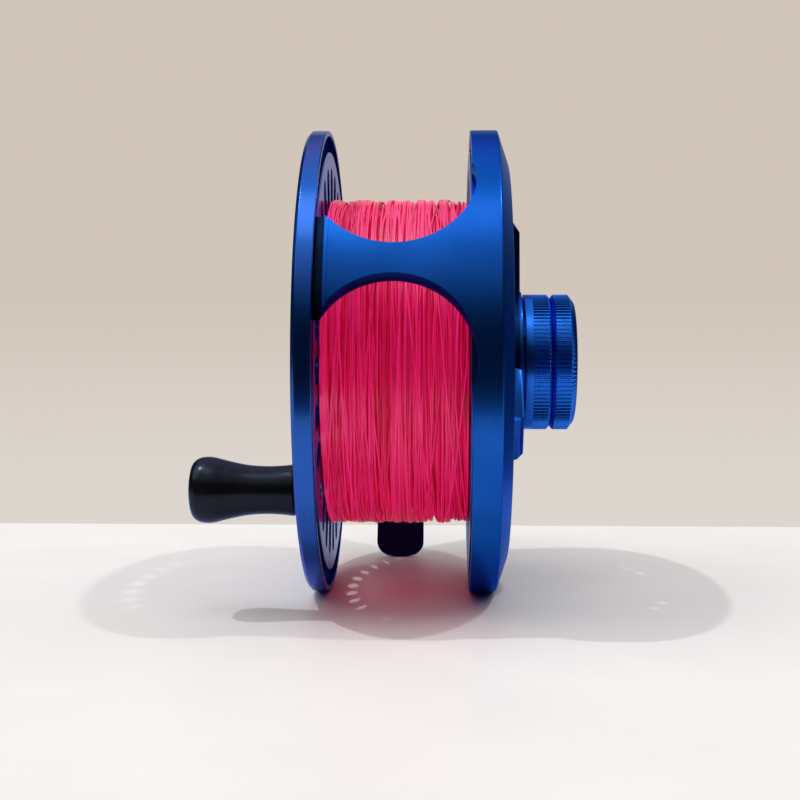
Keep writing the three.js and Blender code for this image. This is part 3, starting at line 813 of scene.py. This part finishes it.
def make_spool():
    """The spool: both flanges and the palming rim, the arbor, the hub, its ports and windows."""
    left, right = -HALF_LINE - GAP, HALF_LINE + GAP
    profile = [
        (HUB_RIGHT, HUB_BORE),
        (HUB_RIGHT, HUB_RADIUS),
        (left, HUB_RADIUS, 1.0),
        (left, ARBOR_INNER, 1.0),
        (SPOOL_RIGHT, ARBOR_INNER),
        (SPOOL_RIGHT, FLANGE_RADIUS),
        (right, FLANGE_RADIUS),
        (right, ARBOR_RADIUS, 0.8),
        (left, ARBOR_RADIUS, 0.8),
        (left, FLANGE_RADIUS),
        (GROOVE_FLOOR, FLANGE_RADIUS, 0.1),
        (GROOVE_FLOOR, GROOVE_RADIUS, 0.1),
        (left, GROOVE_RADIUS, 0.1),
        (left, RIM_RADIUS - 0.2, 0.05),
        (left - 0.2, RIM_RADIUS, 0.05),
        (SPOOL_LEFT + RIM_BREAK, RIM_RADIUS, 0.1),
        (SPOOL_LEFT, RIM_RADIUS - RIM_BREAK, 0.1),
        (SPOOL_LEFT, DISH_RADIUS + 0.8, 0.4),
        (DISH_FACE, DISH_RADIUS, 0.4),
        (DISH_FACE, CAP_SEAT + 0.4, 0.5),
        (CAP_SEAT_LEFT, CAP_SEAT),
        (CAP_SEAT_LEFT, CAP_BORE),
        (BEARING_STOP, CAP_BORE),
        (BEARING_STOP, BEARING_BORE),
        (HUB_STEP, BEARING_BORE),
        (HUB_STEP, HUB_BORE),
    ]
    body = new_object("spool_body", turned(rounded(profile), FINE))
    on_circle = (0, HANDLE_CIRCLE)
    pad = disc_outline(on_circle, HANDLE_BOSS, 64)
    for angle in (HANDLE_ANGLE, HANDLE_ANGLE + 180):
        boss = prism(pad, SPOOL_LEFT + 0.01, HANDLE_BOSS_ROOT, angle)
        combine(body, Form().add(*boss), "UNION")
    holes = Form()
    count = SPOOL_PORTS["count"]
    outline = slot_outline(SPOOL_PORTS["inner"], SPOOL_PORTS["outer"], SPOOL_PORTS["half"])
    for i in range(1, count):
        if i != count // 2:
            holes.add(*prism(outline, CUT_LEFT, PORT_CUT_RIGHT, HANDLE_ANGLE + 360 * i / count))
    windows = SPOOL_WINDOWS
    outline = curved_slot_outline(windows["inner"], windows["outer"], windows["half_span"])
    for i in range(windows["count"]):
        angle = HANDLE_ANGLE + 360 / windows["count"] * i
        holes.add(*prism(outline, CUT_LEFT, WEB_CUT_RIGHT, angle))
    combine(body, holes, "DIFFERENCE")
    seats = Form()
    weight_seat = disc_outline(on_circle, WEIGHT_SEAT, 48)
    seats.add(*prism(weight_seat, CUT_LEFT, WEIGHT_SEAT_FLOOR, HANDLE_ANGLE + 180))
    post_hole = disc_outline(on_circle, POST_BORE, 48)
    seats.add(*prism(post_hole, CUT_LEFT, POST_BORE_END, HANDLE_ANGLE))
    combine(body, seats, "DIFFERENCE")
    soften(body, EDGE_ROUND)
    finish_piece(body, ["spool"], "spool", POLISHED_BLUE)


def make_spool_cap():
    """The cap that holds the spool, with scallops round its rim for the fingers."""
    profile = [
        (-18.7, 4.6),
        (-18.7, 11, 0.15),
        (-20.4, 11, 0.3),
        (-22.4, 10.2, 0.8),
        (-23.4, 8.4, 0.6),
        (-23.0, 5.2, 0.6),
        (-22.9, 0),
        (-21.2, 0),
        (-21.2, 4.6),
    ]

    def grip(x, radius, turn):
        scallop = max(0, math.cos(CAP_GRIPS * turn)) ** 6
        on_rim = radius > 9.6 and x < -18.8
        return radius - CAP_GRIP_DEPTH * scallop if on_rim else radius

    form = turned(rounded(profile, 0.2), FINE, shape=grip)
    finish_piece(new_object("cap", form), ["spool_cap"], "spool", BLUE)


# -------- line


def wind_line():
    """The outer layers of the line, as one array of x and one of radius, TURN_STEPS to a turn.

    The line goes to and fro between the flanges, now in close turns and now in a few wide ones.
    A height map gives what it lies on, and it is too taut to dip between the turns below it.
    """
    half = HALF_LINE - STRAND / 2 - LINE_SIDE_GAP
    edge = np.linspace(-HALF_LINE, HALF_LINE, HEIGHT_CELLS)
    height = np.full((TURN_STEPS, HEIGHT_CELLS), FIRST_LEVEL)
    xs, rs = [], []
    x, direction, turns = -half, 1, 0
    wobble = [random.uniform(0, 2 * math.pi) for _ in DRIFT]
    level = FIRST_LEVEL
    while turns < MOST_TURNS and level < LAST_LEVEL:
        if turns % TURNS_AT_ONE_PACE == 0:
            paces = PACES if level < WIDE_LEVEL else LAST_PACES
            pace = random.choice(paces) * random.uniform(0.85, 1.2)
        for step in range(TURN_STEPS):
            x += direction * pace / TURN_STEPS
            if abs(x) > half:
                x = math.copysign(half, x)
                direction = -direction
            phase = (turns + step / TURN_STEPS) * 2 * math.pi
            drift = sum(size * math.sin(phase * rate + w) for (size, rate), w in zip(DRIFT, wobble))
            here = max(-half, min(half, x + drift))
            near = np.abs(edge - here)
            under = near < STRAND / 2
            arch = np.sqrt(np.maximum(0, (STRAND / 2) ** 2 - near[under] ** 2))
            seat = float(np.max(height[step, under] + SINK * arch))
            xs.append(here)
            rs.append(seat)
            height[step, under] = np.maximum(height[step, under], seat + STAND * arch)
        turns += 1
        level = float(np.mean(height))
    return np.array(xs), np.array(rs)


def smoothed(values, weights):
    """A running weighted mean."""
    weights = np.array(weights, dtype=float)
    padded = np.pad(values, len(weights) // 2, mode="edge")
    return np.convolve(padded, weights / weights.sum(), mode="valid")


def pull_taut(radii):
    """Lifts the line out of narrow dips, and squeezes its highest places down to the winding's top."""
    taut = radii.copy()
    for reach in range(1, 5):
        sag = 0.03 * reach**1.5
        taut[reach:] = np.maximum(taut[reach:], radii[:-reach] - sag)
        taut[:-reach] = np.maximum(taut[:-reach], radii[reach:] - sag)
    taut = smoothed(taut, [1, 2, 3, 2, 1])
    free = STRAND_TOP - SQUEEZE_ROOM
    squeezed = STRAND_TOP - SQUEEZE_ROOM * np.exp(-(taut - free) / SQUEEZE_ROOM)
    return np.where(taut > free, squeezed, taut)


def strand_form(xs, radii):
    """The line as a tube, with a (crest shading, tone) pair for each vertex: painted light on each
    strand's outer side and painted shade on its inner side, and a random tone.
    """
    verts, faces, shades = [], [], []
    tones = smoothed(np.array([random.random() for _ in range(len(xs) // TONE_STEPS + 2)]), [1, 1])
    for i, (x, r) in enumerate(zip(xs, radii)):
        turn = 2 * math.pi * (i % TURN_STEPS) / TURN_STEPS
        part, rest = divmod(i, TONE_STEPS)
        tone = tones[part] + (tones[part + 1] - tones[part]) * rest / TONE_STEPS
        for k in range(STRAND_SIDES):
            around = 2 * math.pi * k / STRAND_SIDES
            across = x + STRAND / 2 * math.cos(around)
            out = r + STRAND / 2 * math.sin(around)
            verts.append((across, -out * math.cos(turn), out * math.sin(turn)))
            # First value is painted light, high on the strand's outer side and low on its inner side;
            # second is a random tone
            shades.append((0.5 + 0.5 * math.sin(around), tone))
    for i in range(len(xs) - 1):
        for k in range(STRAND_SIDES):
            a, b = STRAND_SIDES * i + k, STRAND_SIDES * i + (k + 1) % STRAND_SIDES
            faces.append([a, b, b + STRAND_SIDES, a + STRAND_SIDES])
    faces.append(list(range(STRAND_SIDES))[::-1])
    faces.append(list(range(len(verts) - STRAND_SIDES, len(verts))))
    return Form().add(verts, faces), shades


def make_line():
    """The wound line: the outer strands over a solid core."""
    xs, radii = wind_line()
    form, shades = strand_form(smoothed(xs, np.ones(9)), pull_taut(radii))
    end = HALF_LINE - LINE_SIDE_GAP
    bottom = ARBOR_RADIUS + GAP
    core = turned([(-end, bottom), (-end, LINE_CORE), (end, LINE_CORE), (end, bottom)], ROUND)
    form.add(core.verts, core.faces)
    # The core's low crest value gives it the darkest colour, as painted shade in the gaps between strands
    shades += [(0.4, 0.5)] * len(core.verts)
    line = new_object("wound_line", form)
    layer = line.data.attributes.new("strand", "FLOAT_COLOR", "POINT")
    layer.data.foreach_set("color", [value for crest_shading, tone in shades for value in (crest_shading, tone, 0, 1)])
    finish_piece(line, ["line_pack"], "spool", LINE, None)


# -------- drag knob


def knurl(start, end):
    """Straight grooves cut into the knob's rim between two places along X."""

    def shape(x, radius, turn):
        if not start <= x <= end:
            return radius
        groove = max(0.0, min(1.0, 0.5 + 1.4 * math.cos(KNURLS * turn)))
        return min(radius, KNOB_RADIUS - KNURL_DEPTH * groove)

    return shape


def knob_tier(name, node, profile, start, end):
    """One tier of the knob, knurled between two places along X."""
    form = turned(rounded(profile, 0.12), KNURL_FACETS, shape=knurl(start, end))
    finish_piece(new_object(name, form), [node], "drag_knob", BRIGHT_BLUE, None)


def make_knob():
    """The two knurled tiers of the drag knob."""
    base = [
        (26.9, 14.1),
        (26.9, KNOB_RADIUS, 0.12),
        (28.6, KNOB_RADIUS, 0.02),
        (28.75, KNOB_RADIUS, 0.02),
        (31.95, KNOB_RADIUS, 0.1),
        (32.6, 13.98, 0.1),
        (32.6, 4.8),
        (29, 4.8),
        (29, 11.9),
        (27.4, 11.9),
        (27.4, 14.1),
    ]
    knob_tier("knob_base", "drag_knob", base, 28.7, 33)
    top = [
        (32.7, 7),
        (32.7, 13.98, 0.1),
        (33.35, KNOB_RADIUS, 0.12),
        (36.5, KNOB_RADIUS, 0.12),
        (37.8, 13, 0.25),
        (37.8, 11.2, 0.15),
        (37.35, 10.8, 0.25),
        (37.35, 0),
        (34.4, 0),
        (34.4, 7),
    ]
    knob_tier("knob_top", "knob_cap", top, 33, 37.6)


# -------- handle and counterweight


def curve_point(p, q, r, s, t):
    """A Catmull-Rom curve's value at t, between q and r."""
    linear = (r - p) * t
    square = (2 * p - 5 * q + 4 * r - s) * t**2
    cube = (3 * q - p - 3 * r + s) * t**3
    return 0.5 * (2 * q + linear + square + cube)


def curve_through(points, steps):
    """A smooth curve through (x, radius) points."""
    points = [points[0], *points, points[-1]]
    out = []
    for a, b, c, d in zip(points, points[1:], points[2:], points[3:]):
        for step in range(steps):
            out.append(tuple(curve_point(*four, step / steps) for four in zip(a, b, c, d)))
    out.append(points[-1])
    return out


def off_centre(angle):
    """The (Y, Z) place of the handle's circle at an angle."""
    return at_angle(0, 0, HANDLE_CIRCLE, angle)[1:]


def make_handle():
    """The waisted grip, the plug in its end and the post that it turns on."""
    side = curve_through(
        [
            (-20.3, 5.15),
            (-23, 4.88),
            (-26, 4.8),
            (-29.5, 5.05),
            (-33, 5.75),
            (-36, 6.5),
            (-37.6, 6.65),
            (-39.2, 6.38),
            (-40.35, 5.5),
            (-40.8, 4.2),
        ],
        5,
    )
    foot = [(-19.9, 2.9), (-19.9, 4.85), (-20.05, 5.1)]
    end = [(-40.8, 3.7), (-39.1, 3.7), (-39.1, 2.9)]
    form = turned(foot + side + end, ROUND, off_centre(HANDLE_ANGLE))
    finish_piece(new_object("grip", form), ["handle_grip"], "handle", BLACK, None)
    plug = [(-40.72, 0), (-40.68, 2.4), (-40.6, 3.62, 0.2), (-39.2, 3.6), (-39.2, 0)]
    form = turned(rounded(plug, 0.1), SMALL_ROUND, off_centre(HANDLE_ANGLE))
    finish_piece(new_object("plug", form), ["handle_plug"], "handle", BLACK, None)
    post = [
        (-38.9, 0),
        (-38.9, 1.8),
        (-19.8, 1.8),
        (-19.8, 3.2),
        (-19, 3.2),
        (-19, 1.8),
        (-15.2, 1.8),
        (-15.2, 0),
    ]
    form = turned(rounded(post, 0.15), SMALL_ROUND, off_centre(HANDLE_ANGLE))
    finish_piece(new_object("post", form), ["handle_post"], "spool", STEEL, None)


def screw_socket(x, radius, turn):
    """A socket of rounded lobes, sunk in the middle of a turned head."""
    wave = 1 + LOBE_DEPTH * math.cos(SOCKET_LOBES * turn)
    return radius * wave if radius < SOCKET_RADIUS else radius


def make_counterweight():
    """The weight opposite the handle, and its screw."""
    centre = off_centre(HANDLE_ANGLE + 180)
    weight = [
        (-22.4, 2.5),
        (-22.4, 4.8, 0.3),
        (-21.8, 5.4, 0.3),
        (-18.95, 5.4),
        (-18.95, 4.2),
        (-16.5, 4.2),
        (-16.5, 1.4),
        (-21.6, 1.4),
        (-21.6, 2.5),
    ]
    form = turned(rounded(weight, 0.12), ROUND, centre)
    finish_piece(new_object("weight", form), ["counterweight"], "spool", STEEL, None)
    screw = [
        (-22.3, 0),
        (-22.3, 1.05, 0.02),
        (-23.5, 1.1, 0.08),
        (-23.55, 2.0, 0.3),
        (-22.5, 2.35, 0.15),
        (-22.5, 1.25),
        (-14.95, 1.25),
        (-14.95, 0),
    ]
    form = turned(rounded(screw, 0.1), SMALL_ROUND, centre, screw_socket)
    screw = new_object("weight_screw", form)
    finish_piece(screw, ["counterweight_screw"], "spool", STEEL, None)


# -------- reel foot


def foot_half_width(from_end):
    """Half of the foot's width, which narrows round the corners at its ends."""
    short = 1 - min(from_end, FOOT_CORNER) / FOOT_CORNER
    corner = math.sqrt(max(0.0, 1 - short**2))
    return FOOT_WIDTH / 2 * min(1.0, corner * (1 - FOOT_END_WIDTH) + FOOT_END_WIDTH)


def foot_inner_radius(reach, half_length):
    """The foot's face towards the reel: flat on the pedestal, then curving out to the thin toes."""
    flat = PEDESTAL_TOP + GAP
    if reach < SADDLE_HALF:
        return flat
    t = (reach - SADDLE_HALF) / (half_length - SADDLE_HALF)
    return flat + (FOOT_FACE - TOE_THICKNESS - flat) * (1 - (1 - t) ** TOE_CURVE)


def eased(i, count):
    """From -1 to 1, with the steps closer together at both ends."""
    return math.sin(math.pi / 2 * (2 * i / count - 1))


def foot_form():
    """The foot as a grid of two faces, with its sides and ends."""
    turn = math.radians(FOOT_ANGLE - 180)
    half_length = (RIM_RADIUS - FOOT_FACE * math.sin(turn)) / math.cos(turn)
    verts, faces = [], []
    for i in range(FOOT_ROWS + 1):
        along = half_length * eased(i, FOOT_ROWS)
        width = foot_half_width(half_length - abs(along))
        inner = foot_inner_radius(abs(along), half_length)
        for k in range(FOOT_COLUMNS + 1):
            x = FOOT_MIDDLE + width * eased(k, FOOT_COLUMNS)
            verts.append(at_angle(x, along, FOOT_FACE, FOOT_ANGLE))
            verts.append(at_angle(x, along, inner, FOOT_ANGLE))
    row = 2 * (FOOT_COLUMNS + 1)
    for i in range(FOOT_ROWS):
        for k in range(FOOT_COLUMNS):
            a = row * i + 2 * k
            faces.append([a, a + 2, a + 2 + row, a + row])
            faces.append([a + 1, a + row + 1, a + row + 3, a + 3])
    for i in range(FOOT_ROWS):
        for k in (0, FOOT_COLUMNS):
            a = row * i + 2 * k
            faces.append([a, a + 1, a + row + 1, a + row])
    for i in (0, FOOT_ROWS):
        for k in range(FOOT_COLUMNS):
            a = row * i + 2 * k
            faces.append([a, a + 2, a + 3, a + 1])
    return Form().add(verts, faces)


def make_foot():
    """The reel foot, with two countersunk holes."""
    foot = new_object("foot", foot_form())
    holes = Form()
    for end in (-SCREW_OFFSET, SCREW_OFFSET):
        circle = disc_outline((FOOT_MIDDLE, end), SCREW_BORE, 40)
        holes.add(*radial_prism(circle, RIM_RADIUS, FOOT_FACE + 1.4, FOOT_ANGLE))
    combine(foot, holes, "DIFFERENCE")
    for end in (-SCREW_OFFSET, SCREW_OFFSET):
        levels = []
        for out, radius in (SINK_FLOOR, SINK_TOP):
            circle = disc_outline((FOOT_MIDDLE, end), radius, 40)
            levels.append([at_angle(x, along, out, FOOT_ANGLE) for x, along in circle])
        combine(foot, Form().add(*swept(*levels)), "DIFFERENCE")
    soften(foot, 0.25, 40)
    finish_piece(foot, ["reel_foot"], "frame", NAVY, None)


def make_foot_screws():
    """The two countersunk screws of the foot."""
    profile = [
        (48, 0),
        (48, 1.25),
        (54.95, 1.3, 0.1),
        (56.25, 2.7, 0.15),
        (56.3, 1.15, 0.08),
        (55.3, 1.05, 0.05),
        (55.3, 0),
    ]
    for number, end in ((1, -SCREW_OFFSET), (2, SCREW_OFFSET)):
        form = turned(rounded(profile, 0.1), SMALL_ROUND, shape=screw_socket)
        form.verts = [at_angle(FOOT_MIDDLE + y, end + z, x, FOOT_ANGLE) for x, y, z in form.verts]
        screw = new_object(f"screw_{number}", form)
        finish_piece(screw, [f"foot_screw_{number}"], "frame", STEEL, None)


# -------- spindle, bearings and drag


def make_spindle():
    """The fixed spindle, with its snap groove and the thread at its end."""
    profile = [
        (-20.4, 0),
        (-20.4, 2.5),
        (-19.9, 3),
        (-17.9, 3),
        (-17.9, 2.6, 0.05),
        (-16.1, 2.6, 0.05),
        (-16.1, 3),
        (18.9, 3),
        (18.9, 4.6),
        (20.1, 4.6),
        (20.1, 3),
        (27, 3),
        (27.4, 2.5),
    ]
    thread = THREAD_START
    while thread < THREAD_END:
        profile.append((thread, THREAD_CREST, 0.02))
        profile.append((thread + THREAD_PITCH / 2, THREAD_ROOT, 0.02))
        thread += THREAD_PITCH
    profile += [(34, 2.3), (34, 0)]
    form = turned(rounded(profile, 0.12), SMALL_ROUND)
    finish_piece(new_object("shaft", form), ["spindle"], "frame", STEEL)


def fine_ring(node, inner, body, slot, edge=0.2):
    """A plain ring as wide as its CAD node, with rounded edges."""
    low, high = ((Vector(corner) - AXIS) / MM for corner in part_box(node))
    outer = (high.z - low.z) / 2
    profile = [(low.x, inner), (low.x, outer), (high.x, outer), (high.x, inner)]
    form = turned(rounded(profile, edge), ROUND)
    finish_piece(new_object(f"fine_{node}", form), [node], body, FINISHES[slot])


def make_inner_pieces():
    """The plain rings of the bearings, the clutch and the drag, the rotor and the seals."""
    fine_ring("drag_cover", 7, "frame", "blue_anodised", 0.4)
    fine_ring("drag_disc_inner", 7, "frame", "carbon_disc")
    fine_ring("drag_disc_outer", 5.2, "frame", "carbon_disc")
    fine_ring("thrust_ring", 4.9, "frame", "steel")
    fine_ring("drag_spring", 3.2, "frame", "steel")
    fine_ring("rotor_bush", 3.08, "drag_rotor", "bronze")
    fine_ring("clutch_shell", 8.6, "spool", "steel")
    fine_ring("outer_spacer", 6.6, "spool", "blue_anodised")
    fine_ring("inner_spacer", 3.08, "bearing_core", "steel")
    for end in ("front", "rear"):
        fine_ring(f"outer_race_{end}", 6.4, "spool", "steel")
        fine_ring(f"inner_race_{end}", 3.08, "bearing_core", "steel")
    rotor = [(-0.6, 4.4), (-0.6, 6.6, 0.4), (15.3, 6.6), (15.3, 15.5), (16.9, 15.5), (16.9, 4.4)]
    form = turned(rounded(rotor, 0.2), ROUND)
    finish_piece(new_object("rotor", form), ["drag_rotor"], "drag_rotor", STEEL)
    seals = (
        ("drag_seal", 11.2, 7.6, 0.75, "frame"),
        ("snap_ring", -17, 3.75, 0.9, "spool"),
        ("knob_seal", 28, 11.35, 0.38, "frame"),
    )
    for node, x, radius, thickness, body in seals:
        form = turned(disc_outline((x, radius), thickness, 16), ROUND)
        finish_piece(new_object(f"fine_{node}", form), [node], body, RUBBER)


def dress_cad_nodes():
    """Gives every CAD node that still shows its finish."""
    slots = {part["node"]: part["material_slot"] for part in frame["record"]["subparts"]}
    for name, obj in frame["nodes"].items():
        finish = FINISHES[slots[name]]
        for material_slot in obj.material_slots:
            material_slot.link = "OBJECT"
            material_slot.material = finish


# -------- studio


def make_floor():
    """A pale table top whose far edge lies behind the reel."""
    wide, top = FLOOR_HALF_WIDTH, -RIM_RADIUS
    corners = ((-wide, FLOOR_NEAR), (wide, FLOOR_NEAR), (wide, FLOOR_FAR), (-wide, FLOOR_FAR))
    verts = [(x, y, z) for z in (top - FLOOR_THICKNESS, top) for x, y in corners]
    faces = [[0, 1, 2, 3], [4, 5, 6, 7], [0, 1, 5, 4], [1, 2, 6, 5], [2, 3, 7, 6], [3, 0, 4, 7]]
    floor = new_object("floor", Form().add(verts, faces))
    shader = Shader("pale_floor")
    cloud = shader.noise(object_coordinates(shader), 30, 5)
    colour = shader.blend(shader.spread(cloud, 0, 1), (0.88, 0.88, 0.88), (0.92, 0.92, 0.92))
    shader.link(colour, shader.main.inputs["Base Color"])
    shader.set(Roughness=0.5)
    shader.bump(cloud, 0.05, 0.0002)
    floor.data.materials.append(shader.material)


def make_world():
    """Soft light: a pale warm wall behind, a bright ceiling, and a dim room at the sides and in front."""
    world = bpy.data.worlds.new("studio")
    bpy.context.scene.world = world
    world.use_nodes = True
    tree = world.node_tree
    background = tree.nodes["Background"]
    where = tree.nodes.new("ShaderNodeTexCoord")
    parts = tree.nodes.new("ShaderNodeSeparateXYZ")
    tree.links.new(where.outputs["Generated"], parts.inputs[0])

    def ramp(source, start, end):
        made = tree.nodes.new("ShaderNodeMapRange")
        made.interpolation_type = "SMOOTHSTEP"
        made.inputs["From Min"].default_value = start
        made.inputs["From Max"].default_value = end
        tree.links.new(source, made.inputs["Value"])
        return made.outputs["Result"]

    def mix(axis, start, end, first, second):
        return blended(tree, ramp(parts.outputs[axis], start, end), first, second)

    wall = mix("Z", -0.13, 0.03, (0.72, 0.67, 0.62), (0.64, 0.56, 0.49))
    sides = mix("Y", 0.82, 0.93, (0.02, 0.02, 0.022), wall)
    ceiling = mix("X", 0.1, 0.55, (0.92, 0.87, 0.83), (0.3, 0.28, 0.27))
    whole = mix("Z", 0.4, 0.9, sides, ceiling)
    tree.links.new(whole, background.inputs["Color"])
    background.inputs["Strength"].default_value = 1.0


def area_light(name, where, size, power):
    """A round soft light that points at the axis."""
    light = bpy.data.lights.new(name, "AREA")
    light.shape = "DISK"
    light.size = size
    light.energy = power
    lamp = bpy.data.objects.new(name, light)
    lamp.location = place(where)
    aim = AXIS - lamp.location
    lamp.rotation_euler = aim.to_track_quat("-Z", "Y").to_euler()
    bpy.context.scene.collection.objects.link(lamp)


def make_camera():
    """A low viewpoint in front, a little to the right, looking slightly down and to the left."""
    data = bpy.data.cameras.new("camera")
    data.lens = LENS
    data.sensor_width = SENSOR
    camera = bpy.data.objects.new("camera", data)
    camera.location = place(CAMERA_PLACE)
    camera.rotation_euler = (math.radians(CAMERA_TILT), 0, math.radians(CAMERA_TURN))
    bpy.context.scene.collection.objects.link(camera)
    bpy.context.scene.camera = camera


make_camera()
make_world()
for settings in LIGHTS:
    area_light(*settings)
make_floor()
make_frame()
make_spool()
make_spool_cap()
make_line()
make_knob()
make_handle()
make_counterweight()
make_foot()
make_foot_screws()
make_spindle()
make_inner_pieces()
dress_cad_nodes()
bpy.context.scene.view_settings.view_transform = "Standard"
